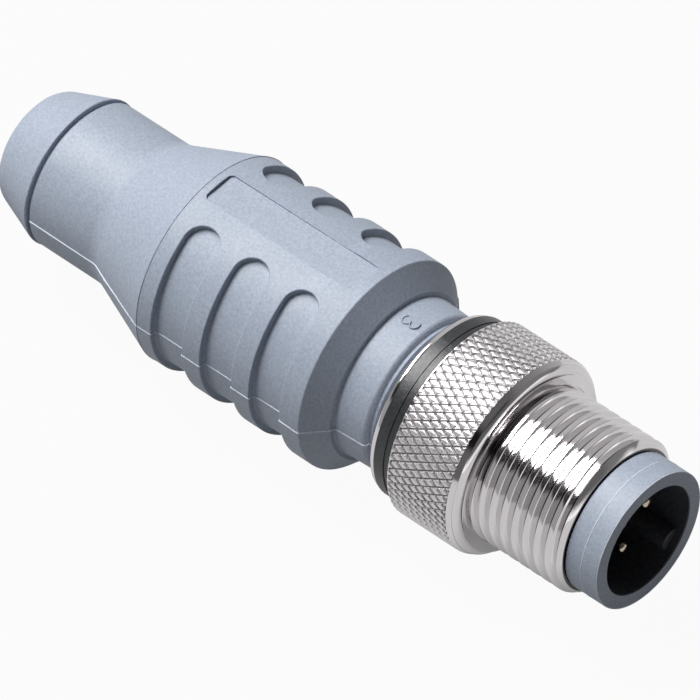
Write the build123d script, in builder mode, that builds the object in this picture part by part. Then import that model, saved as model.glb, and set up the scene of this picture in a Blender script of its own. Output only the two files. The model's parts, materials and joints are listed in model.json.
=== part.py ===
from build123d import *
import os
from math import cos, degrees, hypot, radians, sin

os.makedirs("parts", exist_ok=True)

# Termination resistor plug with a male five-pin face and an M12 coupling nut.
# All sizes are in millimetres. The plug lies along X: its contacts face +X and the flat
# label panel on its grip faces +Z. The origin is on the axis, in the plane of the nut's
# front shoulder, where the coupling thread begins.

# Coupling thread and nut
thread_d = 11.97
thread_length = 7.75
thread_chamfer = 0.5
shoulder_d = 13.7
shoulder_length = 0.95
shoulder_rise = 0.7
shoulder_drop = 0.16
nut_tail = 8.48
rear_lip_d = 13.9
rear_lip_length = 0.6
rear_lip_round = 0.25
ring_length = 1.68
ring_d = 14.1
ring_wall = 0.7
ring_step = 0.06
nut_chamfer = 0.3

# Black contact carrier and its cavity
carrier_d = 9.55
carrier_wall = 0.525
cavity_depth = 8.6
carrier_tail = 12.4
key_radius = 0.85
key_setback = 0.65
key_angle = -45.0
anchor_count = 2
anchor_length = 0.6
anchor_depth = 0.35
anchor_pitch = 1.2

# Blue-grey ring on the front of the carrier
head_wall = 0.525
head_length = 2.75
head_lip = 0.12
head_edge = 0.12

# Contacts: four on a circle, counted from the key, and the fifth in the middle
pin_d = 1.0
pin_circle_d = 5.0
pin_turn = 90.0
pin_setback = 2.1
pin_tip_round = 0.35
shank_d = 1.4
collar_d = 2.0
collar_length = 1.0
cup_d = 1.9
cup_length = 3.0
cup_bore_d = 1.36
cup_depth = 1.2

# Grip body: stem, cone, ribbed grip and neck
neck_gap = 1.02
neck_d = 12.2
neck_draft = 0.1
neck_length = 2.75
neck_round = 0.3
neck_step = 0.35
nose_step = 0.4
nose_lip_rise = 0.25
nose_lip_length = 0.3
spigot_length = 4.1
grip_d = 16.05
front_rib_rise = 0.1
grip_length = 14.95
front_face_length = 1.5
front_blend = 0.15
stem_d = 11.3
stem_length = 5.96
cone_length = 6.15
cone_blend = 2.2
cone_step = 0.04
grip_edge = 0.12

# Scalloped finger grooves, on both sides of the grip
groove_count = 3
rear_rib_length = 1.3
groove_length = 2.87
groove_depth = 0.5
groove_setback = 1.76
groove_top_angle = 21.5
groove_floor_round = 0.12
groove_rim_round = 0.08

# Recessed label panel on the top of the grip
panel_width = 2.85
panel_depth = 0.27
panel_setback = 0.6
panel_length = 13.5
panel_corner = 0.4

# End cap
cap_length = 4.69
cap_front_d = 11.54
cap_rear_d = 8.35
cap_round = 1.5
cap_edge = 0.1
cap_seam_width = 0.34
cap_seam_depth = 0.4
cap_spigot_length = 5.0
cap_spigot_chamfer = 0.5

# Chamber in the grip, its potting block, the resistor and its wires
chamber_d = 7.2
block_length = 17.5
lead_d = 0.6
resistor_length = 6.5
resistor_d = 2.5
resistor_waist_d = 2.2
resistor_end_length = 1.4
resistor_edge = 0.35
resistor_setback = 3.0
resistor_tail = 1.5
insulation_d = 1.36
insulation_end_gap = 0.8
solder_fillet_length = 0.55

# Clearances
nut_clearance = 0.06
spigot_clearance = 0.1
head_gap = 0.1
spigot_end_gap = 0.4
seat_gap = 0.02

# Two sizes that differ by less than this are the same
near = 0.01

# Places and further diameters, worked out from the sizes
knurl_d = shoulder_d + 2 * shoulder_rise
cavity_d = carrier_d - 2 * carrier_wall
head_d = carrier_d + 2 * head_wall
nose_lip_d = neck_d - 2 * nose_step
spigot_d = nose_lip_d - 2 * nose_lip_rise
neck_rear_d = neck_d + 2 * neck_draft
front_rib_d = grip_d + 2 * front_rib_rise
grooved_length = grip_length - groove_setback - rear_rib_length
groove_pitch = (grooved_length - groove_length) / (groove_count - 1)
head_rear_x = thread_length + head_gap
head_front_x = head_rear_x + head_length
carrier_front_x = head_front_x - head_lip
cavity_floor_x = head_front_x - cavity_depth
carrier_rear_x = -carrier_tail
nut_rear_x = -nut_tail
lip_front_x = nut_rear_x + rear_lip_length
knurl_rear_x = lip_front_x + ring_length
nose_x = nut_rear_x - neck_gap
neck_rear_x = nose_x - neck_length
spigot_front_x = nose_x + spigot_length
counterbore_x = spigot_front_x + spigot_end_gap
grip_front_x = neck_rear_x - front_face_length
grip_rear_x = grip_front_x - grip_length
cone_rear_x = grip_rear_x - cone_length
stem_rear_x = cone_rear_x - stem_length
cap_rear_x = stem_rear_x - cap_length
block_rear_x = carrier_rear_x - block_length
cup_rear_x = carrier_rear_x - cup_length
cup_floor_x = cup_rear_x + cup_depth
resistor_front_x = cup_rear_x - resistor_setback
resistor_rear_x = resistor_front_x - resistor_length
return_x = resistor_rear_x - resistor_tail
pin_tip_x = head_front_x - pin_setback
pin_radius = pin_circle_d / 2
groove_floor_r = grip_d / 2 - groove_depth
first_groove_x = grip_front_x - groove_setback - groove_length / 2
first_anchor_x = carrier_rear_x + anchor_pitch / 2


def rings_at(part, x, diameter):
    """The circular edges of a part in the plane at x, with this diameter."""
    circles = part.edges().filter_by(GeomType.CIRCLE)
    return circles.filter_by(
        lambda edge: abs(edge.arc_center.X - x) < near and abs(2 * edge.radius - diameter) < near
    )


def pin_place(number):
    """The (y, z) place of a contact: 1 to 4 go round from the key, and 5 is in the middle."""
    if number == 5:
        return (0.0, 0.0)
    angle = radians(key_angle - pin_turn / 2 + pin_turn * (number - 1))
    return (pin_radius * cos(angle), pin_radius * sin(angle))


def radius_of(point):
    """Distance of a point from the plug's axis."""
    return hypot(point.Y, point.Z)


pin_4_y, pin_4_z = pin_place(4)
wire_plane = Plane((0, 0, 0), x_dir=(1, 0, 0), z_dir=(0, -pin_4_z, pin_4_y))


def save(node, name):
    """Label a finished piece and write it to its own file."""
    node.part.label = name
    export_step(node.part, f"parts/{name}.step")


def make_coupling_nut():
    """Knurled nut with its shoulder, ring groove and M12 thread cylinder."""
    bore_r = carrier_d / 2 + nut_clearance
    counterbore_r = spigot_d / 2 + spigot_clearance
    groove_r = ring_d / 2 - ring_wall
    with BuildPart() as nut:
        with BuildSketch(Plane.XZ):
            with BuildLine():
                Polyline(
                    (0, shoulder_d / 2),
                    (0, thread_d / 2),
                    (thread_length - thread_chamfer, thread_d / 2),
                    (thread_length, thread_d / 2 - thread_chamfer),
                    (thread_length, bore_r),
                    (counterbore_x, bore_r),
                    (counterbore_x, counterbore_r),
                    (nut_rear_x, counterbore_r),
                    (nut_rear_x, rear_lip_d / 2),
                    (lip_front_x, rear_lip_d / 2),
                    (lip_front_x, groove_r),
                    (knurl_rear_x, groove_r),
                    (knurl_rear_x, knurl_d / 2),
                    (-shoulder_length, knurl_d / 2),
                )
                ThreePointArc(
                    (-shoulder_length, knurl_d / 2),
                    (-shoulder_length / 2, knurl_d / 2 - shoulder_drop),
                    (0, shoulder_d / 2),
                )
            make_face()
        revolve(axis=Axis.X)
        fillet(rings_at(nut, nut_rear_x, rear_lip_d), rear_lip_round)
        chamfer(rings_at(nut, nut_rear_x, 2 * counterbore_r), nut_chamfer)
        chamfer(rings_at(nut, knurl_rear_x, knurl_d), nut_chamfer / 2)
    return nut


def make_nut_ring():
    """Black ring that lies in the nut's groove, with a fine step round its middle."""
    ring_inner_r = ring_d / 2 - ring_wall + seat_gap
    middle_x = (lip_front_x + knurl_rear_x) / 2
    with BuildPart() as ring:
        with BuildSketch(Plane.XZ):
            with BuildLine():
                Polyline(
                    (lip_front_x, ring_inner_r),
                    (knurl_rear_x, ring_inner_r),
                    (knurl_rear_x, ring_d / 2 - ring_step),
                    (middle_x, ring_d / 2 - ring_step),
                    (middle_x, ring_d / 2),
                    (lip_front_x, ring_d / 2),
                    close=True,
                )
            make_face()
        revolve(axis=Axis.X)
    return ring


def anchor_places():
    """The middles of the ring grooves that key the carrier into the grip body."""
    return [first_anchor_x + anchor_pitch * index for index in range(anchor_count)]


def make_contact_carrier():
    """Black cup with the coding key, and a solid base with seats for the five contacts."""
    with BuildPart() as carrier:
        with BuildSketch(Plane.XZ):
            with BuildLine():
                Polyline(
                    (carrier_rear_x, 0),
                    (carrier_rear_x, carrier_d / 2),
                    (carrier_front_x, carrier_d / 2),
                    (carrier_front_x, cavity_d / 2),
                    (cavity_floor_x, cavity_d / 2),
                    (cavity_floor_x, 0),
                    close=True,
                )
            make_face()
        revolve(axis=Axis.X)
        for anchor_x in anchor_places():
            with BuildSketch(Plane.YZ.offset(anchor_x - anchor_length / 2)):
                Circle(carrier_d / 2)
                Circle(carrier_d / 2 - anchor_depth, mode=Mode.SUBTRACT)
            extrude(amount=anchor_length, mode=Mode.SUBTRACT)
        key_place = radians(key_angle)
        with BuildSketch(Plane.YZ.offset(cavity_floor_x)):
            with Locations((cavity_d / 2 * cos(key_place), cavity_d / 2 * sin(key_place))):
                Circle(key_radius)
            Circle((cavity_d + carrier_d) / 4, mode=Mode.INTERSECT)
        extrude(amount=cavity_depth - key_setback)
        pins = [pin_place(number) for number in range(1, 6)]
        with BuildSketch(Plane.YZ.offset(carrier_rear_x)):
            with Locations(*pins):
                Circle(collar_d / 2 + seat_gap)
        extrude(amount=collar_length, mode=Mode.SUBTRACT)
        with BuildSketch(Plane.YZ.offset(carrier_rear_x)):
            with Locations(*pins):
                Circle(shank_d / 2 + seat_gap)
        extrude(amount=cavity_floor_x - carrier_rear_x, mode=Mode.SUBTRACT)
    return carrier


def make_head_ring():
    """Blue-grey ring that caps the carrier's rim and keeps the nut from sliding off."""
    with BuildPart() as head:
        with BuildSketch(Plane.XZ):
            with BuildLine():
                Polyline(
                    (head_rear_x, carrier_d / 2),
                    (head_rear_x, head_d / 2),
                    (head_front_x, head_d / 2),
                    (head_front_x, cavity_d / 2),
                    (carrier_front_x, cavity_d / 2),
                    (carrier_front_x, carrier_d / 2),
                    close=True,
                )
            make_face()
        revolve(axis=Axis.X)
        fillet(rings_at(head, head_front_x, head_d), head_edge)
    return head


def make_contact_pin(number):
    """Turned contact: pin, wider shank, collar in the carrier's seat, and solder cup."""
    collar_front_x = carrier_rear_x + collar_length
    with BuildPart() as pin:
        with BuildSketch(Plane.XZ):
            with BuildLine():
                Polyline(
                    (pin_tip_x, 0),
                    (cup_floor_x, 0),
                    (cup_floor_x, cup_bore_d / 2),
                    (cup_rear_x, cup_bore_d / 2),
                    (cup_rear_x, cup_d / 2),
                    (carrier_rear_x, cup_d / 2),
                    (carrier_rear_x, collar_d / 2),
                    (collar_front_x, collar_d / 2),
                    (collar_front_x, shank_d / 2),
                    (cavity_floor_x, shank_d / 2),
                    (cavity_floor_x, pin_d / 2),
                    (pin_tip_x, pin_d / 2),
                    close=True,
                )
            make_face()
        revolve(axis=Axis.X)
        fillet(rings_at(pin, pin_tip_x, pin_d), pin_tip_round)
    y, z = pin_place(number)
    pin.part = pin.part.moved(Location((0, y, z)))
    return pin


def make_groove_cutter():
    """Round-ended slots, wrapped round both sides of the grip down to the grooves' floor."""
    end_turn = degrees(groove_length / grip_d)
    low_turn = groove_top_angle + end_turn
    outside_r = front_rib_d
    core_r = chamber_d / 2
    with BuildPart() as slots:
        for index in range(groove_count):
            x = first_groove_x - groove_pitch * index
            with BuildSketch(Plane.XZ.rotated((low_turn, 0, 0))):
                with Locations((x, (groove_floor_r + outside_r) / 2)):
                    Rectangle(groove_length, outside_r - groove_floor_r)
            revolve(axis=Axis.X, revolution_arc=180 - 2 * low_turn)
            for turn in (low_turn, 180 - low_turn):
                with BuildSketch(Plane.XY.rotated((turn, 0, 0)).offset(core_r)):
                    with Locations((x, 0)):
                        Circle(groove_length / 2)
                extrude(amount=outside_r - core_r)
        with BuildSketch(Plane.YZ.offset(grip_rear_x)):
            Circle(groove_floor_r)
        extrude(amount=grip_length, mode=Mode.SUBTRACT)
        mirror(about=Plane.XZ)
    return slots


def make_panel_cutter():
    """Rounded panel outline, cut to a flat floor that rises with the front rib."""
    rear_x = grip_rear_x + panel_setback
    front_x = rear_x + panel_length
    top_r = front_rib_d
    with BuildPart() as panel:
        with BuildSketch(Plane.XY):
            with Locations(((rear_x + front_x) / 2, 0)):
                RectangleRounded(panel_length, panel_width, panel_corner)
        extrude(amount=top_r)
        with BuildSketch(Plane.XZ):
            with BuildLine():
                Polyline(
                    (rear_x, top_r),
                    (rear_x, grip_d / 2 - panel_depth),
                    (front_x, front_rib_d / 2 - panel_depth),
                    (front_x, top_r),
                    close=True,
                )
            make_face()
        extrude(amount=panel_width, both=True, mode=Mode.INTERSECT)
    return panel


def make_grip_body():
    """Moulded housing: stem, cone, grip with scalloped grooves and label panel, and neck."""
    groove_cutter = make_groove_cutter()
    panel_cutter = make_panel_cutter()
    front_groove_x = grip_front_x - groove_setback
    with BuildPart() as grip:
        with BuildSketch(Plane.XZ):
            with BuildLine():
                Polyline(
                    (spigot_front_x, carrier_d / 2),
                    (spigot_front_x, spigot_d / 2),
                    (nose_x + nose_lip_length, spigot_d / 2),
                    (nose_x + nose_lip_length, nose_lip_d / 2),
                    (nose_x, nose_lip_d / 2),
                    (nose_x, neck_d / 2),
                    (neck_rear_x, neck_rear_d / 2),
                    (neck_rear_x, neck_rear_d / 2 + neck_step),
                    (grip_front_x, front_rib_d / 2),
                    (front_groove_x - groove_length / 3, front_rib_d / 2),
                    (front_groove_x - groove_length * 2 / 3, grip_d / 2),
                    (grip_rear_x, grip_d / 2),
                    (grip_rear_x, grip_d / 2 + cone_step),
                    (cone_rear_x, stem_d / 2),
                    (stem_rear_x, stem_d / 2),
                    (stem_rear_x, chamber_d / 2),
                    (carrier_rear_x, chamber_d / 2),
                    (carrier_rear_x, carrier_d / 2),
                    close=True,
                )
            make_face()
        revolve(axis=Axis.X)
        fillet(rings_at(grip, cone_rear_x, stem_d), cone_blend)
        fillet(rings_at(grip, neck_rear_x, neck_rear_d), front_blend)
        fillet(rings_at(grip, nose_x, neck_d), neck_round)
        fillet(rings_at(grip, grip_front_x, front_rib_d), grip_edge)
        for anchor_x in anchor_places():
            with BuildSketch(Plane.YZ.offset(anchor_x - anchor_length / 2)):
                Circle(carrier_d / 2)
                Circle(carrier_d / 2 - anchor_depth, mode=Mode.SUBTRACT)
            extrude(amount=anchor_length)
        add(groove_cutter.part, mode=Mode.SUBTRACT)
        rim_edges = grip.edges(Select.NEW)
        floor_edges = grip.edges().filter_by(
            lambda edge: abs(radius_of(edge @ 0.5) - groove_floor_r) < near
            and grip_rear_x < (edge @ 0.5).X < grip_front_x
        )
        fillet(floor_edges, groove_floor_round)
        fillet(rim_edges, groove_rim_round)
        add(panel_cutter.part, mode=Mode.SUBTRACT)
    return grip


def make_end_cap():
    """Plug that closes the stem: tapered head, a narrow seam and a spigot in the chamber."""
    spigot_r = chamber_d / 2 - seat_gap
    spigot_nose_x = stem_rear_x + cap_spigot_length
    head_x = stem_rear_x - cap_seam_width
    seam_r = cap_front_d / 2 - cap_seam_depth
    with BuildPart() as cap:
        with BuildSketch(Plane.XZ):
            with BuildLine():
                Polyline(
                    (cap_rear_x, 0),
                    (cap_rear_x, cap_rear_d / 2),
                    (head_x, cap_front_d / 2),
                    (head_x, seam_r),
                    (stem_rear_x, seam_r),
                    (stem_rear_x, spigot_r),
                    (spigot_nose_x, spigot_r),
                    (spigot_nose_x, 0),
                    close=True,
                )
            make_face()
        revolve(axis=Axis.X)
        fillet(rings_at(cap, cap_rear_x, cap_rear_d), cap_round)
        fillet(rings_at(cap, head_x, cap_front_d), cap_edge)
        chamfer(rings_at(cap, spigot_nose_x, 2 * spigot_r), cap_spigot_chamfer)
    return cap


def make_resistor_body():
    """Coated resistor with its wider ends over the end caps of the core."""
    waist_front_x = resistor_front_x - resistor_end_length
    waist_rear_x = resistor_rear_x + resistor_end_length
    waist_slope = resistor_d - resistor_waist_d
    with BuildPart() as resistor:
        with BuildSketch(Plane.XZ):
            with BuildLine():
                Polyline(
                    (resistor_rear_x, 0),
                    (resistor_rear_x, resistor_d / 2),
                    (waist_rear_x, resistor_d / 2),
                    (waist_rear_x + waist_slope, resistor_waist_d / 2),
                    (waist_front_x - waist_slope, resistor_waist_d / 2),
                    (waist_front_x, resistor_d / 2),
                    (resistor_front_x, resistor_d / 2),
                    (resistor_front_x, 0),
                    close=True,
                )
            make_face()
        revolve(axis=Axis.X)
        fillet(rings_at(resistor, resistor_rear_x, resistor_d), resistor_edge)
        fillet(rings_at(resistor, resistor_front_x, resistor_d), resistor_edge)
    return resistor


def make_resistor_lead_5():
    """Straight wire from the resistor's front end into the middle contact's solder cup."""
    with BuildPart() as lead:
        with BuildSketch(Plane.YZ.offset(resistor_front_x)):
            Circle(lead_d / 2)
        extrude(amount=cup_floor_x - resistor_front_x)
    return lead


def make_resistor_lead_4(diameter=lead_d):
    """Wire that turns back at the rear and runs beside the resistor to contact 4."""
    with BuildPart() as lead:
        with BuildLine(wire_plane):
            Line((cup_floor_x, pin_radius), (return_x, pin_radius))
            ThreePointArc(
                (return_x, pin_radius),
                (return_x - pin_radius / 2, pin_radius / 2),
                (return_x, 0),
            )
            Line((return_x, 0), (resistor_rear_x, 0))
        with BuildSketch(Plane.YZ.offset(cup_floor_x)):
            with Locations(pin_place(4)):
                Circle(diameter / 2)
        sweep()
    return lead


def make_lead_insulation():
    """Tube on the wire that runs back beside the resistor."""
    front_x = cup_rear_x - insulation_end_gap
    with BuildPart() as tube:
        with BuildSketch(Plane.YZ.offset(return_x)):
            with Locations(pin_place(4)):
                Circle(insulation_d / 2)
                Circle(lead_d / 2 + seat_gap, mode=Mode.SUBTRACT)
        extrude(amount=front_x - return_x)
    return tube


def make_solder_joint(number):
    """Solder that fills a contact's cup round the wire and tapers off behind it."""
    lead_r = lead_d / 2
    with BuildPart() as joint:
        with BuildSketch(Plane.XZ):
            with BuildLine():
                Polyline(
                    (cup_floor_x, lead_r),
                    (cup_floor_x, cup_bore_d / 2),
                    (cup_rear_x, cup_bore_d / 2),
                    (cup_rear_x, cup_d / 2),
                    (cup_rear_x - solder_fillet_length, lead_r + seat_gap),
                    (cup_rear_x - solder_fillet_length, lead_r),
                    close=True,
                )
            make_face()
        revolve(axis=Axis.X)
    y, z = pin_place(number)
    joint.part = joint.part.moved(Location((0, y, z)))
    return joint


def make_inner_mould():
    """Potting block in the chamber, moulded round the solder cups, resistor and wires."""
    channel = make_resistor_lead_4(lead_d + 2 * seat_gap)
    front = Plane.YZ.offset(carrier_rear_x)
    with BuildPart() as block:
        with BuildSketch(Plane.YZ.offset(block_rear_x)):
            Circle(chamber_d / 2 - seat_gap)
        extrude(amount=block_length)
        with BuildSketch(front):
            with Locations(*[pin_place(number) for number in range(1, 6)]):
                Circle(cup_d / 2 + seat_gap)
        extrude(amount=-cup_length - solder_fillet_length, mode=Mode.SUBTRACT)
        with BuildSketch(front):
            with Locations(pin_place(4)):
                Circle(insulation_d / 2 + seat_gap)
        extrude(amount=return_x - carrier_rear_x, mode=Mode.SUBTRACT)
        with BuildSketch(front):
            Circle(lead_d / 2 + seat_gap)
        extrude(amount=resistor_front_x - carrier_rear_x, mode=Mode.SUBTRACT)
        with BuildSketch(Plane.YZ.offset(resistor_rear_x - seat_gap)):
            Circle(resistor_d / 2 + seat_gap)
        extrude(amount=resistor_length + 2 * seat_gap, mode=Mode.SUBTRACT)
        add(channel.part, mode=Mode.SUBTRACT)
    return block


save(make_coupling_nut(), "coupling_nut")
save(make_nut_ring(), "nut_ring")
save(make_contact_carrier(), "contact_carrier")
save(make_head_ring(), "head_ring")
for contact in range(1, 6):
    save(make_contact_pin(contact), f"contact_pin_{contact}")
save(make_grip_body(), "grip_body")
save(make_end_cap(), "end_cap")
save(make_resistor_body(), "resistor_body")
save(make_resistor_lead_4(), "resistor_lead_4")
save(make_resistor_lead_5(), "resistor_lead_5")
save(make_lead_insulation(), "lead_insulation")
for contact in (4, 5):
    save(make_solder_joint(contact), f"solder_joint_{contact}")
save(make_inner_mould(), "inner_mould")
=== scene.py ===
"""Termination resistor plug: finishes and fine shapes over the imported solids.

The axis runs along X, the contacts point to +X, and the origin lies in the nut's front shoulder.
"""

import json
import math

import bmesh
import bpy
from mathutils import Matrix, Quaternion, Vector


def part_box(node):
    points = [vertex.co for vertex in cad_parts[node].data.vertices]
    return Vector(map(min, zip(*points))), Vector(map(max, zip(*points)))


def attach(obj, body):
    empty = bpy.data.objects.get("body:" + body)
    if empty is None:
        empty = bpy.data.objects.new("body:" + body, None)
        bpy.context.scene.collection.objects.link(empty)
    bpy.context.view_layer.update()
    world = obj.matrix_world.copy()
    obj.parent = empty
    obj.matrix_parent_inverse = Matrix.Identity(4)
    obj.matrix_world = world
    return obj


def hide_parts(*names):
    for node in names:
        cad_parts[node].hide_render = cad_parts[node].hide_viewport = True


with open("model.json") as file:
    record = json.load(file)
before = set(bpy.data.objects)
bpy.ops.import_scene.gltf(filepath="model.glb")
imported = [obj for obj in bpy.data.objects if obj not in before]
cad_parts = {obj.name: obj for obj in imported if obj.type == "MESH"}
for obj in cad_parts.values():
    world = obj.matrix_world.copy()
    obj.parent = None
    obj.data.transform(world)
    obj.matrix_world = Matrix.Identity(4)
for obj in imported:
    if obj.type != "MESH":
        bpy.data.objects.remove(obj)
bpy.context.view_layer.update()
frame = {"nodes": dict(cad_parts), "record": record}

bl_info = {
    "name": "Termination resistor plug",
    "version": (1, 0, 0),
    "blender": (4, 5, 0),
    "location": "3D View > Sidebar > Plug",
    "description": "Dresses the packed plug: knurled nut, thread, moulding lines and finishes",
    "category": "Object",
}

MM = 0.001
NUT_LOW, NUT_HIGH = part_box("coupling_nut")
RING_LOW, RING_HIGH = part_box("nut_ring")
HEAD_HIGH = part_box("head_ring")[1]
GRIP_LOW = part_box("grip_body")[0]
MOUNTS = {mount["name"]: mount for mount in frame["record"]["mounts"]}
THREAD_R = MOUNTS["coupling_thread"]["dims"]["r_mm"] * MM

MERGE = 0.001 * MM
MERGE_FINE = 0.0001 * MM
TURN_STEPS = 120
BODY_STEPS = 144
FLOOR_SIZE = 4.0
FLOOR_GAP = 0.02 * MM
SENSOR_WIDTH = 36.0


def length(name, value, about):
    """A length in metres for a property group, with its default."""
    return bpy.props.FloatProperty(
        name=name, description=about, default=value, unit="LENGTH", subtype="DISTANCE", precision=5
    )


def angle(name, degrees, about):
    """An angle for a property group, with its default in degrees."""
    return bpy.props.FloatProperty(
        name=name, description=about, default=math.radians(degrees), subtype="ANGLE", precision=4
    )


def share(name, value, about):
    """A number from 0 to 1 for a property group."""
    return bpy.props.FloatProperty(
        name=name, description=about, default=value, min=0.0, max=1.0, subtype="FACTOR"
    )


def colour(name, value, about):
    """A linear colour for a property group."""
    return bpy.props.FloatVectorProperty(
        name=name, description=about, default=value, size=4, min=0.0, max=1.0, subtype="COLOR"
    )


class PlugNutSizes(bpy.types.PropertyGroup):
    """Sizes of the coupling nut."""

    bore_r: length("Bore radius", 4.84 * MM, "Radius of the bore over the contact carrier")
    bore_length: length("Bore length", 4.6 * MM, "Length of the bore behind the front shoulder")
    counterbore_r: length("Counterbore radius", 5.56 * MM, "Radius of the rear recess")
    lip_r: length("Rear lip radius", 6.95 * MM, "Outer radius of the lip behind the ring")
    lip_round: length("Lip rounding", 0.38 * MM, "Rounding of the lip's rear edge")
    lip_fall: length("Lip fall", 0.07 * MM, "Drop of the lip's radius towards the ring")
    groove_r: length("Ring groove radius", 6.33 * MM, "Radius of the groove that holds the ring")
    shoulder_length: length("Shoulder length", 0.95 * MM, "Length of the part before the knurl")
    shoulder_band: length("Shoulder band", 0.37 * MM, "Length of the cone before the knurl")
    shoulder_fall: length("Shoulder fall", 0.17 * MM, "Drop of the cone's radius over its length")
    shoulder_round: length("Shoulder rounding", 1.0 * MM, "Radius of the round before the cone")
    bead_r: length("Bead radius", 0.11 * MM, "Radius of the fine bead round the front face")
    shoulder_r: length("Shoulder radius", 6.85 * MM, "Radius of the front face's edge")
    rim_drop: length("Rim drop", 0.03 * MM, "Drop of the smooth parts beside the knurl")
    knurl_rim: length("Knurl rim", 0.05 * MM, "Plain rim between the ring and the knurl")
    knurl_turns: bpy.props.IntProperty(
        name="Knurl turns", description="Diamonds round the nut", default=72, min=12
    )
    knurl_pitch: length("Knurl pitch", 1.2 * MM, "Length of one diamond along the axis")
    knurl_depth: length("Knurl depth", 0.17 * MM, "Depth of the grooves between diamonds")
    knurl_slope: share("Knurl slope", 0.35, "Share of a diamond taken by its slopes")
    knurl_bevel: share("Knurl bevel", 0.18, "Share of a diamond taken by the bevels of its top")
    knurl_wall: share("Knurl wall", 0.86, "Share of the depth taken by the slopes")
    thread_pitch: length("Thread pitch", 1.0 * MM, "Advance of the thread in one turn")
    thread_depth: length("Thread depth", 0.52 * MM, "Height of the thread's crests")
    thread_crest: length("Thread crest", 0.38 * MM, "Width of the flat on the thread's crests")
    thread_round: length("Thread rounding", 0.06 * MM, "Rounding of the crests' edges")
    thread_chamfer: length("Thread chamfer", 0.5 * MM, "Size of the taper at the thread's front")
    thread_recess: length("Thread recess", 1.0 * MM, "Length of the recess behind the thread")


class PlugMouldSizes(bpy.types.PropertyGroup):
    """Sizes of the fine marks on the mouldings."""

    line_r: length("Parting line radius", 0.07 * MM, "Radius of the bead along the parting line")
    line_core: length("Parting line core", 5.5 * MM, "Half width inside which no line is seen")
    line_gap: length("Parting line gap", 0.7 * MM, "Gap between the line's end and the nut")
    neck_r: length("Neck radius", 6.18 * MM, "Radius of the neck under the numeral")
    numeral_height: length("Numeral height", 1.35 * MM, "Height of the cavity numeral on the neck")
    numeral_width: length("Numeral width", 0.8 * MM, "Width of the cavity numeral on the neck")
    numeral_stroke: length("Numeral stroke", 0.07 * MM, "Radius of the numeral's raised stroke")
    numeral_x: length("Numeral place", -10.87 * MM, "Place of the numeral along the axis")
    numeral_side: length("Numeral offset", 0.33 * MM, "Offset of the numeral round the neck")
    witness_r: length("Witness line radius", 0.045 * MM, "Radius of the lines on the head ring")


class PlugFinishes(bpy.types.PropertyGroup):
    """Colours of the finishes."""

    grey: colour("Moulded grey", (0.325, 0.372, 0.455, 1.0), "Blue-grey of the mouldings")
    grey_light: colour("Light grain", (0.425, 0.475, 0.565, 1.0), "Lighter grain of the mouldings")
    nickel: colour("Nickel", (0.80, 0.775, 0.785, 1.0), "Nickel plate")
    black: colour("Carrier black", (0.085, 0.089, 0.106, 1.0), "Black of the contact carrier")
    ring: colour("Ring black", (0.017, 0.018, 0.021, 1.0), "Black of the nut's ring")
    gold: colour("Contact gold", (0.56, 0.49, 0.37, 1.0), "Gold plate of the contacts")
    tin: colour("Tin", (0.72, 0.72, 0.73, 1.0), "Tinned wires and solder")
    lacquer: colour("Lacquer", (0.10, 0.25, 0.34, 1.0), "Lacquer of the resistor")
    tube: colour("Tube white", (0.62, 0.62, 0.58, 1.0), "Insulating tube on a wire")
    potting: colour("Potting grey", (0.03, 0.03, 0.032, 1.0), "Block round the resistor")


class PlugStageSizes(bpy.types.PropertyGroup):
    """The camera, the floor and the lamp."""

    azimuth: angle("Azimuth", 41.97, "Angle of the camera round the plug")
    elevation: angle("Elevation", 46.19, "Angle of the camera over the floor")
    distance: length("Camera distance", 921 * MM, "Distance of the camera from its target")
    frame_width: length("Frame width", 47.6 * MM, "Width of the picture at the target")
    target_x: length("Target along the axis", -16.33 * MM, "Place of the target on the plug's axis")
    target_z: length("Target height", -0.3 * MM, "Height of the target over the plug's axis")
    roll: angle("Roll", -2.4, "Turn of the camera round the plug's axis")
    room: bpy.props.FloatProperty(
        name="Room", description="Strength of the room's even light", default=0.32, min=0.0
    )
    lamp_power: bpy.props.FloatProperty(
        name="Lamp power", description="Power of the soft lamp", default=12.4, subtype="POWER"
    )
    lamp_place: bpy.props.FloatVectorProperty(
        name="Lamp place",
        description="Place of the soft lamp over the plug",
        default=(-0.48, -0.096, 0.83),
        size=3,
        unit="LENGTH",
        subtype="TRANSLATION",
    )
    lamp_width: length("Lamp width", 0.74, "Width of the soft lamp")
    lamp_depth: length("Lamp depth", 0.48, "Depth of the soft lamp")
    floor_glow: share("Floor glow", 0.95, "Share of plain white in the floor that the camera sees")
    floor_shine: share("Floor shine", 0.72, "Lightness of the floor in the metal's reflections")
    # Painted shadow: under the plug, the floor's lightness in the metal's reflections drops to this
    # share.
    floor_shade: share("Floor shade", 0.38, "Share of that lightness left under the plug")
    floor_tone: share("Floor tone", 0.28, "Lightness of the floor's paper")


def deselect_all():
    """Leave edit mode and clear the selection."""
    if bpy.context.object and bpy.context.object.mode != "OBJECT":
        bpy.ops.object.mode_set(mode="OBJECT")
    bpy.ops.object.select_all(action="DESELECT")


def work_on(piece):
    """Make one piece the active and only selected object."""
    deselect_all()
    piece.select_set(True)
    bpy.context.view_layer.objects.active = piece


def start_outline(name, place):
    """A new object of one vertex at a place, left in edit mode, from which an outline is drawn."""
    deselect_all()
    bpy.ops.mesh.primitive_plane_add(size=MM, location=(0, 0, 0))
    piece = bpy.context.object
    piece.name = name
    piece.data.name = name
    bpy.ops.object.mode_set(mode="EDIT")
    bpy.ops.mesh.select_all(action="SELECT")
    bpy.ops.mesh.merge(type="CENTER")
    bpy.ops.transform.translate(value=place)
    return piece


def draw_to(before, after):
    """Extrude the selected vertex from one place to the next."""
    step = Vector(after) - Vector(before)
    bpy.ops.mesh.extrude_region_move(TRANSFORM_OT_translate={"value": step})


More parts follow.
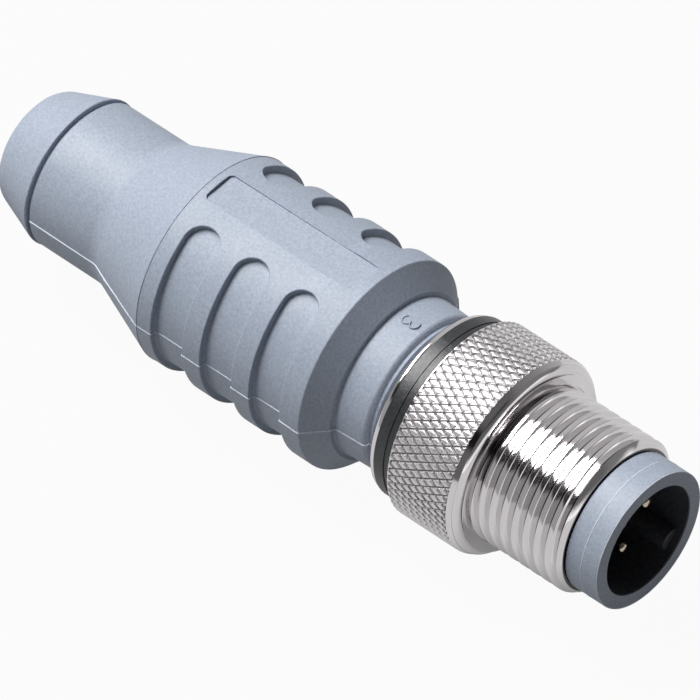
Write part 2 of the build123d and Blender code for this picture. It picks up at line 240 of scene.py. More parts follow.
def draw_outline(name, points, closed=False):
    """Draw a line of (x, radius) points in the plane over the axis."""
    places = [(x, 0.0, r) for x, r in points]
    if closed:
        places.append(places[0])
    piece = start_outline(name, places[0])
    for before, after in zip(places, places[1:]):
        draw_to(before, after)
    bpy.ops.mesh.select_all(action="SELECT")
    bpy.ops.mesh.remove_doubles(threshold=MERGE_FINE)
    return piece


def close_mesh():
    """Merge doubles and turn the faces outwards, in edit mode."""
    bpy.ops.mesh.select_all(action="SELECT")
    bpy.ops.mesh.remove_doubles(threshold=MERGE)
    bpy.ops.mesh.normals_make_consistent(inside=False)


def turn(name, points, steps):
    """Turn a closed outline of (x, radius) points round the X axis."""
    piece = draw_outline(name, points, closed=True)
    bpy.ops.mesh.select_all(action="SELECT")
    bpy.ops.mesh.spin(steps=steps, angle=2 * math.pi, center=(0, 0, 0), axis=(1, 0, 0))
    close_mesh()
    bpy.ops.object.mode_set(mode="OBJECT")
    return piece


def arc(centre, radius, first, last, count):
    """Points of (x, radius) on an arc, from one angle to another in degrees."""
    angles = [math.radians(first + (last - first) * index / count) for index in range(count + 1)]
    return [(centre[0] + radius * math.cos(a), centre[1] + radius * math.sin(a)) for a in angles]


def apply_modifiers(piece):
    """Apply every modifier of a piece."""
    work_on(piece)
    for modifier in list(piece.modifiers):
        bpy.ops.object.modifier_apply(modifier=modifier.name)


def join_pieces(pieces, name):
    """Join pieces into the first one."""
    deselect_all()
    for piece in pieces:
        piece.select_set(True)
    bpy.context.view_layer.objects.active = pieces[0]
    bpy.ops.object.join()
    whole = bpy.context.object
    whole.name = name
    whole.data.name = name
    return whole


def smooth(piece, degrees):
    """Shade a piece smooth, apart from edges sharper than an angle."""
    work_on(piece)
    bpy.ops.object.shade_smooth_by_angle(angle=math.radians(degrees))


def give(piece, material):
    """Give a piece one material in all its slots."""
    if not piece.data.materials:
        piece.data.materials.append(material)
    for slot in piece.material_slots:
        slot.material = material


def new_material(name):
    """A node material with its shader and a coordinate node."""
    material = bpy.data.materials.new(name)
    material.use_nodes = True
    nodes = material.node_tree.nodes
    shader = nodes["Principled BSDF"]
    place = nodes.new("ShaderNodeTexCoord")
    return material, shader, place


def link(material, source, target):
    """Link two sockets of a material."""
    material.node_tree.links.new(source, target)


def noise(material, place, scale, detail, stretch=(1.0, 1.0, 1.0)):
    """A noise texture on the object's coordinates."""
    nodes = material.node_tree.nodes
    mapping = nodes.new("ShaderNodeMapping")
    mapping.inputs["Scale"].default_value = stretch
    texture = nodes.new("ShaderNodeTexNoise")
    texture.inputs["Scale"].default_value = scale
    texture.inputs["Detail"].default_value = detail
    link(material, place.outputs["Object"], mapping.inputs["Vector"])
    link(material, mapping.outputs["Vector"], texture.inputs["Vector"])
    return texture.outputs["Fac"]


def ramp(material, source, stops):
    """A colour ramp over a number, between two (place, colour) stops."""
    node = material.node_tree.nodes.new("ShaderNodeValToRGB")
    for element, (place, value) in zip(node.color_ramp.elements, stops):
        element.position = place
        element.color = value
    link(material, source, node.inputs["Fac"])
    return node.outputs["Color"]


def map_range(tree, source, first, last, low=0.0, high=1.0, soft=False):
    """Map the part of a value from first to last to the range from low to high."""
    node = tree.nodes.new("ShaderNodeMapRange")
    if soft:
        node.interpolation_type = "SMOOTHSTEP"
    node.inputs["From Min"].default_value = first
    node.inputs["From Max"].default_value = last
    node.inputs["To Min"].default_value = low
    node.inputs["To Max"].default_value = high
    tree.links.new(source, node.inputs["Value"])
    return node.outputs["Result"]


def calculate(tree, operation, *parts):
    """Join numbers and sockets by an operation."""
    node = tree.nodes.new("ShaderNodeMath")
    node.operation = operation
    for part, socket in zip(parts, node.inputs):
        if isinstance(part, float):
            socket.default_value = part
        else:
            tree.links.new(part, socket)
    return node.outputs["Value"]


def spread(material, source, low, high):
    """Map a noise value to a range."""
    return map_range(material.node_tree, source, 0.3, 0.7, low, high)


def bump(material, shader, source, depth, strength):
    """Bump the surface by a noise value."""
    node = material.node_tree.nodes.new("ShaderNodeBump")
    node.inputs["Strength"].default_value = strength
    node.inputs["Distance"].default_value = depth
    link(material, source, node.inputs["Height"])
    link(material, node.outputs["Normal"], shader.inputs["Normal"])


def grey_plastic(name, highlight_lift=0.0):
    """Satin blue-grey moulded plastic with a fine spark-eroded grain, lightened evenly where a
    painted highlight is wanted.
    """
    finishes = bpy.context.scene.plug_finishes
    material, shader, place = new_material(name)
    grain = noise(material, place, scale=5200.0, detail=3.0)
    cloud = noise(material, place, scale=220.0, detail=2.0)
    # Lightening the colour here paints a highlight.
    low = [value + highlight_lift for value in finishes.grey[:3]] + [1.0]
    high = [value + highlight_lift for value in finishes.grey_light[:3]] + [1.0]
    tone = ramp(material, grain, [(0.32, low), (0.68, high)])
    link(material, tone, shader.inputs["Base Color"])
    link(material, spread(material, cloud, 0.5, 0.58), shader.inputs["Roughness"])
    bump(material, shader, grain, depth=0.018 * MM, strength=0.6)
    shader.inputs["Specular IOR Level"].default_value = 0.7
    return material


def radius_range(material, place, low, high):
    """From 0 at one radius round the axis to 1 at another."""
    nodes = material.node_tree.nodes
    across = nodes.new("ShaderNodeVectorMath")
    across.operation = "MULTIPLY"
    across.inputs[1].default_value = (0.0, 1.0, 1.0)
    radius = nodes.new("ShaderNodeVectorMath")
    radius.operation = "LENGTH"
    link(material, place.outputs["Object"], across.inputs[0])
    link(material, across.outputs["Vector"], radius.inputs[0])
    return map_range(material.node_tree, radius.outputs["Value"], low, high)


def nickel_plate(name, rough, root_r=0.0, root_shade_height=1.0 * MM, root_shade_tone=0.05):
    """Bright nickel plate with turning marks round the axis, with painted shade: darker at the
    roots of its grooves.
    """
    finishes = bpy.context.scene.plug_finishes
    material, shader, place = new_material(name)
    marks = noise(material, place, scale=300.0, detail=4.0, stretch=(50.0, 1.0, 1.0))
    pits = noise(material, place, scale=9000.0, detail=2.0)
    dark = [value * 0.88 for value in finishes.nickel[:3]] + [1.0]
    tone = ramp(material, marks, [(0.3, dark), (0.7, list(finishes.nickel))])
    # Painted shade: the colour darkens to a set tone near the roots of the grooves, over a band
    # just above them.
    unshaded = radius_range(material, place, root_r, root_r + root_shade_height)
    painted_shade = material.node_tree.nodes.new("ShaderNodeMix")
    painted_shade.data_type = "RGBA"
    painted_shade.inputs["A"].default_value = (root_shade_tone, root_shade_tone * 0.96, root_shade_tone * 0.98, 1.0)
    link(material, unshaded, painted_shade.inputs["Factor"])
    link(material, tone, painted_shade.inputs["B"])
    link(material, painted_shade.outputs["Result"], shader.inputs["Base Color"])
    link(material, spread(material, pits, rough * 0.75, rough * 1.4), shader.inputs["Roughness"])
    shader.inputs["Metallic"].default_value = 1.0
    bump(material, shader, marks, depth=0.002 * MM, strength=0.3)
    return material


def dark_plastic(name, tint, rough, depth, shine=0.5):
    """Plastic, rubber or lacquer with a faint grain."""
    material, shader, place = new_material(name)
    grain = noise(material, place, scale=4200.0, detail=3.0)
    high = [min(1.0, value * 1.6 + 0.004) for value in tint[:3]] + [1.0]
    tone = ramp(material, grain, [(0.35, list(tint)), (0.7, high)])
    link(material, tone, shader.inputs["Base Color"])
    link(material, spread(material, grain, rough * 0.85, rough * 1.15), shader.inputs["Roughness"])
    bump(material, shader, grain, depth, strength=0.5)
    shader.inputs["Specular IOR Level"].default_value = shine
    return material


def bright_metal(name, tint, rough):
    """Plated or tinned metal with fine streaks along the axis."""
    material, shader, place = new_material(name)
    streaks = noise(material, place, scale=2500.0, detail=3.0, stretch=(0.2, 1.0, 1.0))
    low = [value * 0.85 for value in tint[:3]] + [1.0]
    tone = ramp(material, streaks, [(0.3, low), (0.7, list(tint))])
    link(material, tone, shader.inputs["Base Color"])
    link(material, spread(material, streaks, rough * 0.8, rough * 1.3), shader.inputs["Roughness"])
    shader.inputs["Metallic"].default_value = 1.0
    bump(material, shader, streaks, depth=0.002 * MM, strength=0.3)
    return material


def make_nut_body(nut):
    """The turned body of the nut, without its knurl and thread."""
    rear = NUT_LOW[0]
    lip_front = RING_LOW[0]
    rim_rear = RING_HIGH[0]
    rim_front = rim_rear + nut.knurl_rim
    knurl_front = -nut.shoulder_length
    core_r = NUT_HIGH[2] - nut.knurl_depth
    rim_r = NUT_HIGH[2] - nut.rim_drop
    lean = 0.03 * MM
    bend_r = nut.lip_round
    lip = arc((rear + bend_r, nut.lip_r - bend_r), bend_r, 180, 90, 5)

    cone_x = nut.shoulder_band - nut.shoulder_length
    cone_r = rim_r - nut.shoulder_fall
    notch = 0.05 * MM
    steep, flat = 53, 16
    centre_x = cone_x + 0.02 * MM - nut.shoulder_round * math.cos(math.radians(steep))
    centre_r = cone_r - notch - nut.shoulder_round * math.sin(math.radians(steep))
    slope = arc((centre_x, centre_r), nut.shoulder_round, steep, flat, 7)

    edge_x, edge_r = slope[-1]
    groove_x = edge_x - 0.07 * MM
    bead = arc((edge_x - 0.01 * MM, edge_r - 0.2 * MM), nut.bead_r, 75, 0, 4)
    face_r = THREAD_R + 0.12 * MM
    recess_x = -0.06 * MM
    recess_r = THREAD_R - nut.thread_depth * 1.3
    points = [(rear, nut.counterbore_r)] + lip + [
        (lip_front, nut.lip_r - nut.lip_fall),
        (lip_front, nut.groove_r),
        (rim_rear, nut.groove_r),
        (rim_rear, rim_r),
        (rim_front, rim_r),
        (rim_front + lean, core_r),
        (knurl_front - 0.05 * MM, core_r),
        (knurl_front, rim_r),
        (cone_x, cone_r),
        (cone_x - 0.01 * MM, cone_r - notch),
    ] + slope + [
        (groove_x, edge_r - 0.02 * MM),
        (groove_x, edge_r - 0.09 * MM),
    ] + bead + [
        (0.0, nut.shoulder_r),
        (0.0, face_r),
        (recess_x, face_r - 0.02 * MM),
        (recess_x, recess_r),
        (-nut.thread_recess, recess_r),
        (-nut.thread_recess, nut.bore_r),
        (-nut.bore_length, nut.bore_r),
        (-nut.bore_length, nut.counterbore_r),
    ]
    body = turn("nut_body", points, BODY_STEPS)
    smooth(body, 28)
    return body


def cut_ends(rear, front, fill):
    """Cut the mesh off behind one place on the axis and before another, in edit mode."""
    for place, keep_front in ((rear, True), (front, False)):
        bpy.ops.mesh.select_all(action="SELECT")
        bpy.ops.mesh.bisect(
            plane_co=(place, 0, 0),
            plane_no=(1, 0, 0),
            use_fill=fill,
            clear_inner=keep_front,
            clear_outer=not keep_front,
        )


def make_knurl(nut):
    """Diamonds rolled into the nut: two are shaped and copied along and round.

    The shell that they make is cut to length, and closed by a hidden tube inside the nut's wall.
    """
    half_turn = math.pi / nut.knurl_turns
    top_r = NUT_HIGH[2]
    half_width = top_r * half_turn
    deselect_all()
    bpy.ops.mesh.primitive_plane_add(size=1.0, location=(0, 0, 0))
    knurl = bpy.context.object
    knurl.name = "nut_knurl"
    bpy.ops.object.mode_set(mode="EDIT")
    bpy.ops.mesh.select_all(action="SELECT")
    bpy.ops.transform.rotate(
        value=math.pi / 4, orient_axis="Z", center_override=(0, 0, 0), orient_type="GLOBAL"
    )
    side = math.sqrt(2)
    bpy.ops.transform.resize(
        value=(nut.knurl_pitch / side, 2 * half_width / side, 1.0), center_override=(0, 0, 0)
    )
    bpy.ops.transform.translate(value=(0, 0, top_r - nut.knurl_depth))
    bpy.ops.mesh.inset(thickness=half_width * nut.knurl_slope, depth=0)
    bpy.ops.transform.translate(value=(0, 0, nut.knurl_depth * nut.knurl_wall))
    bpy.ops.mesh.inset(thickness=half_width * nut.knurl_bevel, depth=0)
    bpy.ops.transform.translate(value=(0, 0, nut.knurl_depth * (1 - nut.knurl_wall)))
    first_x = RING_HIGH[0] - nut.knurl_pitch / 2
    bpy.ops.mesh.select_all(action="SELECT")
    bpy.ops.transform.translate(value=(first_x, 0, 0))
    bpy.ops.mesh.duplicate()
    bpy.ops.transform.translate(value=(nut.knurl_pitch / 2, 0, 0))
    bpy.ops.transform.rotate(
        value=half_turn, orient_axis="X", center_override=(0, 0, 0), orient_type="GLOBAL"
    )
    bpy.ops.object.mode_set(mode="OBJECT")
    rows = math.ceil((-nut.shoulder_length - first_x) / nut.knurl_pitch) + 1
    along = knurl.modifiers.new("along", "ARRAY")
    along.count = rows
    along.use_relative_offset = False
    along.use_constant_offset = True
    along.constant_offset_displace = (nut.knurl_pitch, 0, 0)
    apply_modifiers(knurl)
    bpy.ops.object.mode_set(mode="EDIT")
    bpy.ops.mesh.select_all(action="SELECT")
    bpy.ops.mesh.spin(
        steps=nut.knurl_turns, dupli=True, angle=2 * math.pi, center=(0, 0, 0), axis=(1, 0, 0)
    )
    bpy.ops.mesh.select_all(action="SELECT")
    corner_gap = 0.02 * MM
    bpy.ops.mesh.remove_doubles(threshold=corner_gap)
    cut_ends(RING_HIGH[0] + 0.02 * MM, -nut.shoulder_length, fill=False)
    bpy.ops.mesh.select_all(action="DESELECT")
    bpy.ops.mesh.select_mode(type="EDGE")
    bpy.ops.mesh.select_non_manifold(
        use_wire=False, use_multi_face=False, use_non_contiguous=False, use_verts=False
    )
    inward = 0.96
    bpy.ops.mesh.extrude_region_move()
    bpy.ops.transform.resize(value=(1.0, inward, inward), center_override=(0, 0, 0))
    bpy.ops.mesh.bridge_edge_loops()
    bpy.ops.mesh.select_mode(type="VERT")
    bpy.ops.object.mode_set(mode="OBJECT")
    smooth(knurl, 24)
    return knurl


def make_thread(nut):
    """One pitch of the thread's outline, wound along the nut, then trimmed by a turned blank."""
    root_r = THREAD_R - nut.thread_depth
    pitch = nut.thread_pitch
    lean = math.tan(math.radians(30))
    flank = nut.thread_depth * lean
    corner = nut.thread_round * lean
    crest_start = pitch - flank - nut.thread_crest
    round_r = THREAD_R - nut.thread_round
    outline = [(0.0, root_r), (crest_start - flank, root_r)]
    outline += arc((crest_start + corner, round_r), nut.thread_round, 150, 90, 3)
    outline += arc((pitch - flank - corner, round_r), nut.thread_round, 90, 30, 3)
    outline += [(pitch, root_r)]
    start_x = -2.0 * pitch
    end_x = NUT_HIGH[0]
    spare = 0.5 * MM
    turns = math.ceil((end_x - start_x) / pitch) + 2
    thread = draw_outline("nut_thread", [(start_x + x, r) for x, r in outline])
    bpy.ops.object.mode_set(mode="OBJECT")
    wind = thread.modifiers.new("wind", "SCREW")
    wind.axis = "X"
    wind.angle = 2 * math.pi
    wind.screw_offset = pitch
    wind.iterations = turns
    wind.steps = TURN_STEPS
    wind.render_steps = TURN_STEPS
    wind.use_merge_vertices = True
    wind.merge_threshold = MERGE
    apply_modifiers(thread)
    bpy.ops.object.mode_set(mode="EDIT")
    close_mesh()
    cut_ends(-spare, end_x + spare, fill=True)
    close_mesh()
    bpy.ops.object.mode_set(mode="OBJECT")
    over = 0.3 * MM
    blunt = 0.03 * MM
    bore_edge = 0.15 * MM
    end_r = THREAD_R - nut.thread_chamfer
    blank_outline = [
        (-over, nut.bore_r),
        (-over, THREAD_R + over),
        (end_x - nut.thread_chamfer - over, THREAD_R + over),
        (end_x - blunt, end_r + blunt),
        (end_x, end_r - blunt),
        (end_x, nut.bore_r + bore_edge),
        (end_x - bore_edge, nut.bore_r),
    ]
    blank = turn("thread_blank", blank_outline, TURN_STEPS)
    trim = thread.modifiers.new("trim", "BOOLEAN")
    trim.operation = "INTERSECT"
    trim.solver = "EXACT"
    trim.object = blank
    apply_modifiers(thread)
    bpy.data.objects.remove(blank)
    smooth(thread, 32)
    return thread


class PLUG_OT_make_nut(bpy.types.Operator):
    """Model the knurled nut with its wound thread, and let it stand for the plain one"""

    bl_idname = "plug.make_nut"
    bl_label = "Coupling nut"

    def execute(self, context):
        nut = context.scene.plug_nut
        pieces = [make_nut_body(nut), make_knurl(nut), make_thread(nut)]
        knurl_root = NUT_HIGH[2] - nut.knurl_depth
        thread_root = THREAD_R - nut.thread_depth
        bright = nickel_plate("nickel_bright", rough=0.1)
        # The knurl and the thread get painted shade at the roots of their grooves.
        rolled = nickel_plate(
            "nickel_rolled", rough=0.34, root_r=knurl_root, root_shade_height=0.065 * MM, root_shade_tone=0.2
        )
        cut = nickel_plate(
            "nickel_thread", rough=0.1, root_r=thread_root, root_shade_height=0.07 * MM, root_shade_tone=0.1
        )
        for piece, finish in zip(pieces, (bright, rolled, cut)):
            give(piece, finish)
        whole = join_pieces(pieces, "coupling_nut_dressed")
        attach(whole, "nut")
        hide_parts("coupling_nut")
        return {"FINISHED"}


def body_section(mould):
    """The outer line of the grip body in the plane of its mould halves, as loose edges."""
    source = frame["nodes"]["grip_body"]
    line = source.copy()
    line.data = source.data.copy()
    line.name = "parting_line"
    line.parent = None
    line.matrix_world = source.matrix_world.copy()
    bpy.context.collection.objects.link(line)
    work_on(line)
    bpy.ops.object.mode_set(mode="EDIT")
    bpy.ops.mesh.select_all(action="SELECT")
    bpy.ops.mesh.remove_doubles(threshold=MERGE_FINE)
    bpy.ops.mesh.bisect(
        plane_co=(0, 0, MERGE), plane_no=(0, 0, 1), clear_inner=True, clear_outer=True
    )
    mesh = bmesh.from_edit_mesh(line.data)
    end_x = NUT_LOW[0] - mould.line_gap
    for vertex in mesh.verts:
        vertex.select_set(abs(vertex.co.y) < mould.line_core or vertex.co.x > end_x)
    mesh.select_flush_mode()
    bmesh.update_edit_mesh(line.data)
    bpy.ops.mesh.delete(type="VERT")
    bpy.ops.object.mode_set(mode="OBJECT")
    return line


class PLUG_OT_make_parting_lines(bpy.types.Operator):
    """Raise the bead of the mould's parting line along both sides of the grip body, in a lighter
    grey that paints its highlight
    """

    bl_idname = "plug.make_parting_lines"
    bl_label = "Parting lines"

    def execute(self, context):
        mould = context.scene.plug_mould
        line = body_section(mould)
        bpy.ops.object.convert(target="CURVE")
        line.data.bevel_depth = mould.line_r
        line.data.bevel_resolution = 1
        line.data.use_fill_caps = True
        bpy.ops.object.convert(target="MESH")
        line = bpy.context.object
        bpy.ops.object.mode_set(mode="EDIT")
        bpy.ops.mesh.select_all(action="SELECT")
        bpy.ops.mesh.dissolve_degenerate(threshold=0.002 * MM)
        close_mesh()
        bpy.ops.mesh.fill_holes(sides=0)
        bpy.ops.object.mode_set(mode="OBJECT")
        line.data.materials.clear()
        # The bead's lighter grey is a painted highlight.
        give(line, grey_plastic("grey_bead_painted_highlight", highlight_lift=0.32))
        smooth(line, 60)
        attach(line, "plug")
        return {"FINISHED"}


class PLUG_OT_make_witness_lines(bpy.types.Operator):
    """Turn two fine beads round the head ring in a lighter grey that paints their highlight; the
    one at the front edge stands for the highlight on the ring's rounded edge
    """

    bl_idname = "plug.make_witness_lines"
    bl_label = "Witness lines"

    def execute(self, context):
        mould = context.scene.plug_mould
        front_x, outer_r = HEAD_HIGH[0], HEAD_HIGH[2]
        middle_x = (NUT_HIGH[0] + front_x) / 2
        sunk = mould.witness_r * 0.6
        rings = [
            ("witness_middle", middle_x, outer_r - sunk),
            ("edge_highlight_line", front_x - mould.witness_r, outer_r - mould.witness_r),
        ]
        pieces = []
        for name, x, r in rings:
            pieces.append(turn(name, arc((x, r), mould.witness_r, 0, 315, 7), TURN_STEPS))
        lines = join_pieces(pieces, "head_ring_lines")
        # The lines' lighter grey is a painted highlight.
        give(lines, grey_plastic("grey_witness_painted_highlight", highlight_lift=0.38))
        smooth(lines, 60)
        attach(lines, "plug")
        return {"FINISHED"}


class PLUG_OT_make_numeral(bpy.types.Operator):
    """Raise a plain cavity numeral on the neck"""

    bl_idname = "plug.make_numeral"
    bl_label = "Cavity numeral"

    def execute(self, context):
        mould = context.scene.plug_mould
        neck_r = mould.neck_r
        quarter = mould.numeral_height / 4
        half_width = mould.numeral_width / 2
        steps = 12
        places = []
        for side, first, last in ((1, 150, -90), (-1, 90, -150)):
            for index in range(steps + 1):
                turned = math.radians(first + (last - first) * index / steps)
                along = mould.numeral_x + quarter * (side + math.sin(turned))
                around = (half_width * math.cos(turned) - mould.numeral_side) / neck_r
                places.append((along, -neck_r * math.sin(around), neck_r * math.cos(around)))
        numeral = start_outline("cavity_numeral", places[0])
        for before, after in zip(places, places[1:]):
            draw_to(before, after)
        bpy.ops.mesh.select_all(action="SELECT")
        bpy.ops.mesh.remove_doubles(threshold=MERGE_FINE)
        bpy.ops.object.mode_set(mode="OBJECT")
        bpy.ops.object.convert(target="CURVE")
        numeral.data.bevel_depth = mould.numeral_stroke
        numeral.data.bevel_resolution = 1
        numeral.data.use_fill_caps = True
        bpy.ops.object.convert(target="MESH")
        numeral = bpy.context.object
        give(numeral, grey_plastic("grey_numeral"))
        smooth(numeral, 60)
        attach(numeral, "plug")
        return {"FINISHED"}


class PLUG_OT_finish_nodes(bpy.types.Operator):
    """Give every solid that stays its finish"""

    bl_idname = "plug.finish_nodes"
    bl_label = "Finishes of the solids"

    def execute(self, context):
        finishes = context.scene.plug_finishes
        grey = grey_plastic("grey_body")
        black = dark_plastic("carrier_satin", finishes.black, rough=0.45, depth=0.01 * MM)
        rubber = dark_plastic("ring_gloss", finishes.ring, rough=0.36, depth=0.03 * MM, shine=0.6)
        gold = bright_metal("gold_plate", finishes.gold, rough=0.08)
        tinned = bright_metal("tinned_copper", finishes.tin, rough=0.3)
        lacquer = dark_plastic("resistor_lacquer", finishes.lacquer, rough=0.3, depth=0.004 * MM)
        tube = dark_plastic("tube_white", finishes.tube, rough=0.5, depth=0.004 * MM)
        potting = dark_plastic("potting_grey", finishes.potting, rough=0.5, depth=0.01 * MM)
        finish_of = {
            "grip_body": grey,
            "end_cap": grey,
            "head_ring": grey,
            "nut_ring": rubber,
            "contact_carrier": black,
            "resistor_body": lacquer,
            "resistor_lead_4": tinned,
            "resistor_lead_5": tinned,
            "lead_insulation": tube,
            "solder_joint_4": tinned,
            "solder_joint_5": tinned,
            "inner_mould": potting,
        }
        for number in range(1, 6):
            finish_of[f"contact_pin_{number}"] = gold
        for name, material in finish_of.items():
            give(frame["nodes"][name], material)
        return {"FINISHED"}


def add_lamp(stage, target):
    """Hang the soft lamp and turn it to a target."""
    data = bpy.data.lights.new("key_lamp", "AREA")
    data.shape = "RECTANGLE"
    data.size = stage.lamp_width
    data.size_y = stage.lamp_depth
    data.energy = stage.lamp_power
    lamp = bpy.data.objects.new("key_lamp", data)
    bpy.context.collection.objects.link(lamp)
    place = Vector(stage.lamp_place)
    lamp.location = place
    lamp.rotation_euler = (target - place).to_track_quat("-Z", "Y").to_euler()


def floor_paper(stage):
    """Pale paper that the camera and the metal see as the white background."""
    material, shader, place = new_material("floor_white")
    tree = material.node_tree
    fibre = noise(material, place, scale=300.0, detail=2.0)
    low = [stage.floor_tone * 0.98] * 3 + [1.0]
    high = [stage.floor_tone] * 3 + [1.0]
    link(material, ramp(material, fibre, [(0.3, low), (0.7, high)]), shader.inputs["Base Color"])
    shader.inputs["Roughness"].default_value = 0.8

    # Painted shadow in the metal's reflections: the metal sees the floor dim close under the plug,
    # and light before it and beside it.
    split = tree.nodes.new("ShaderNodeSeparateXYZ")
    link(material, place.outputs["Object"], split.inputs["Vector"])
    aside = calculate(tree, "ABSOLUTE", split.outputs["Y"])
    shine = stage.floor_shine
    beside = map_range(tree, aside, 1 * MM, 11 * MM, shine * stage.floor_shade, shine, soft=True)
    before = map_range(tree, split.outputs["X"], 8 * MM, 15 * MM, 0.0, shine)
    mirrored = calculate(tree, "MAXIMUM", beside, before)

    rays = tree.nodes.new("ShaderNodeLightPath")
    camera_ray, glossy_ray = rays.outputs["Is Camera Ray"], rays.outputs["Is Glossy Ray"]
    glow = tree.nodes.new("ShaderNodeEmission")
    strength = calculate(tree, "MULTIPLY_ADD", glossy_ray, mirrored, camera_ray)
    link(material, strength, glow.inputs["Strength"])
    glowing = calculate(tree, "MULTIPLY_ADD", camera_ray, stage.floor_glow, glossy_ray)
    mix = tree.nodes.new("ShaderNodeMixShader")
    link(material, glowing, mix.inputs["Fac"])
    link(material, shader.outputs["BSDF"], mix.inputs[1])
    link(material, glow.outputs["Emission"], mix.inputs[2])
    link(material, mix.outputs["Shader"], tree.nodes["Material Output"].inputs["Surface"])
    return material


def set_room(stage):
    """The room: white to the camera, dim to the plastics, and a set of walls to the metal."""
    scene = bpy.context.scene
    world = scene.world or bpy.data.worlds.new("studio")
    scene.world = world
    world.use_nodes = True
    tree = world.node_tree
    place = tree.nodes.new("ShaderNodeTexCoord")
    split = tree.nodes.new("ShaderNodeSeparateXYZ")
    tree.links.new(place.outputs["Generated"], split.inputs["Vector"])
    along, across, above = split.outputs["X"], split.outputs["Y"], split.outputs["Z"]

    # The plastics' light comes from behind the plug, and fades towards the front and the rear end.
    room = stage.room
    dim = tree.nodes["Background"]
    dim.inputs["Color"].default_value = (0.93, 0.98, 1.1, 1.0)
    front = map_range(tree, along, -0.6, 0.35, room * 1.15, room * 0.06, soft=True)
    rear = map_range(tree, along, -0.75, 0.1, room * 0.05, room * 1.2, soft=True)
    tree.links.new(calculate(tree, "MINIMUM", front, rear), dim.inputs["Strength"])

    # The metal mirrors a wall on each side, a grey ceiling and a pale low wall in front.
    shine = tree.nodes.new("ShaderNodeBackground")
    near_wall = map_range(tree, above, 0.48, 0.6, 0.48, 0.03, soft=True)
    ceiling = map_range(tree, above, 0.72, 0.85, 0.0, 0.16, soft=True)
    far_wall = map_range(tree, across, -0.05, 0.5, 0.0, 0.72, soft=True)
    wall_length = map_range(tree, along, -0.15, 0.3, 1.0, 0.36, soft=True)
    both_walls = calculate(tree, "MAXIMUM", near_wall, far_wall)
    walls = calculate(tree, "MULTIPLY", both_walls, wall_length)
    front_side = map_range(tree, along, 0.5, 0.72, 0.0, 1.0, soft=True)
    front_height = map_range(tree, above, 0.02, 0.26, 1.6, 0.08, soft=True)
    front_wall = calculate(tree, "MULTIPLY", front_side, front_height)
    ends = calculate(tree, "MAXIMUM", ceiling, front_wall)
    tree.links.new(calculate(tree, "MAXIMUM", walls, ends), shine.inputs["Strength"])

    white = tree.nodes.new("ShaderNodeBackground")
    white.inputs["Color"].default_value = (1.0, 1.0, 1.0, 1.0)
    rays = tree.nodes.new("ShaderNodeLightPath")
    to_glossy = tree.nodes.new("ShaderNodeMixShader")
    to_camera = tree.nodes.new("ShaderNodeMixShader")
    tree.links.new(rays.outputs["Is Glossy Ray"], to_glossy.inputs["Fac"])
    tree.links.new(dim.outputs["Background"], to_glossy.inputs[1])
    tree.links.new(shine.outputs["Background"], to_glossy.inputs[2])
    tree.links.new(rays.outputs["Is Camera Ray"], to_camera.inputs["Fac"])
    tree.links.new(to_glossy.outputs["Shader"], to_camera.inputs[1])
    tree.links.new(white.outputs["Background"], to_camera.inputs[2])
    tree.links.new(to_camera.outputs["Shader"], tree.nodes["World Output"].inputs["Surface"])


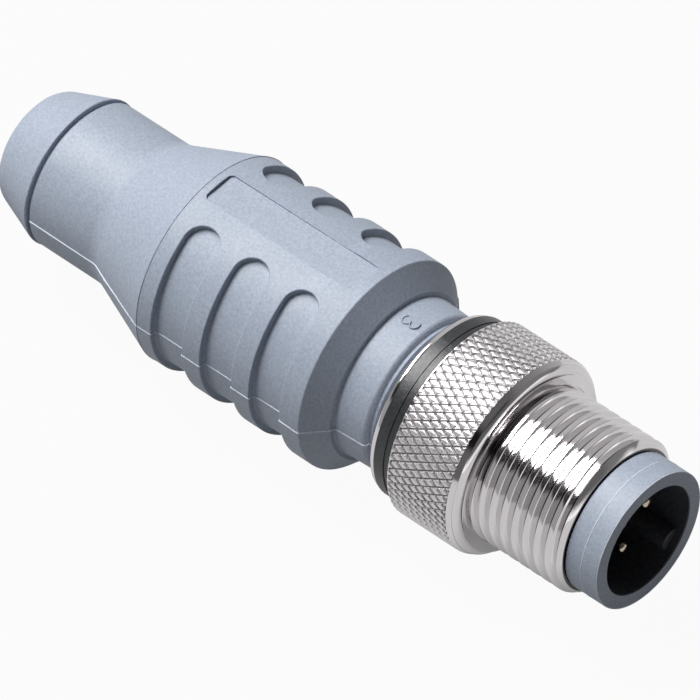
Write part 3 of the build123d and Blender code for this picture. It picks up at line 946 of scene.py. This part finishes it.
class PLUG_OT_set_stage(bpy.types.Operator):
    """Lay the floor, set the room and the lamp and place the camera"""

    bl_idname = "plug.set_stage"
    bl_label = "Stage"

    def execute(self, context):
        stage = context.scene.plug_stage
        deselect_all()
        bpy.ops.mesh.primitive_plane_add(size=FLOOR_SIZE, location=(0, 0, GRIP_LOW[2] - FLOOR_GAP))
        floor = bpy.context.object
        floor.name = "floor"
        bpy.ops.object.mode_set(mode="EDIT")
        bpy.ops.mesh.subdivide(number_cuts=4)
        bpy.ops.object.mode_set(mode="OBJECT")
        give(floor, floor_paper(stage))
        set_room(stage)

        target = Vector((stage.target_x, 0.0, stage.target_z))
        add_lamp(stage, target)

        level = math.cos(stage.elevation)
        back = Vector(
            (
                math.sin(stage.azimuth) * level,
                -math.cos(stage.azimuth) * level,
                math.sin(stage.elevation),
            )
        )
        data = bpy.data.cameras.new("camera")
        camera = bpy.data.objects.new("camera", data)
        context.collection.objects.link(camera)
        rolled = Quaternion((1.0, 0.0, 0.0), stage.roll)
        camera.location = rolled @ (target + back * stage.distance)
        camera.rotation_euler = (rolled @ back.to_track_quat("Z", "Y")).to_euler()
        data.sensor_width = SENSOR_WIDTH
        data.lens = SENSOR_WIDTH * stage.distance / stage.frame_width
        data.clip_start = 0.01
        data.clip_end = 20.0
        context.scene.camera = camera
        context.scene.view_settings.view_transform = "Standard"
        return {"FINISHED"}


class PLUG_PT_panel(bpy.types.Panel):
    """Lists the plug's operators and sizes"""

    bl_label = "Termination resistor plug"
    bl_idname = "PLUG_PT_panel"
    bl_space_type = "VIEW_3D"
    bl_region_type = "UI"
    bl_category = "Plug"

    def draw(self, context):
        layout = self.layout
        for operator in OPERATORS:
            layout.operator(operator.bl_idname)
        for group, kind in GROUPS.items():
            box = layout.box()
            for name in kind.__annotations__:
                box.prop(getattr(context.scene, group), name)


GROUPS = {
    "plug_nut": PlugNutSizes,
    "plug_mould": PlugMouldSizes,
    "plug_finishes": PlugFinishes,
    "plug_stage": PlugStageSizes,
}
OPERATORS = (
    PLUG_OT_make_nut,
    PLUG_OT_make_parting_lines,
    PLUG_OT_make_witness_lines,
    PLUG_OT_make_numeral,
    PLUG_OT_finish_nodes,
    PLUG_OT_set_stage,
)


def register():
    """Register the classes and hang the property groups on the scene."""
    for name, group in GROUPS.items():
        bpy.utils.register_class(group)
        setattr(bpy.types.Scene, name, bpy.props.PointerProperty(type=group))
    for kind in OPERATORS + (PLUG_PT_panel,):
        bpy.utils.register_class(kind)


def unregister():
    """Take the classes and property groups away again."""
    for kind in reversed(OPERATORS + (PLUG_PT_panel,)):
        bpy.utils.unregister_class(kind)
    for name, group in GROUPS.items():
        delattr(bpy.types.Scene, name)
        bpy.utils.unregister_class(group)


def main():
    """Run every operator in order."""
    register()
    bpy.ops.plug.make_nut()
    bpy.ops.plug.make_parting_lines()
    bpy.ops.plug.make_witness_lines()
    bpy.ops.plug.make_numeral()
    bpy.ops.plug.finish_nodes()
    bpy.ops.plug.set_stage()


if __name__ == "__main__":
    main()
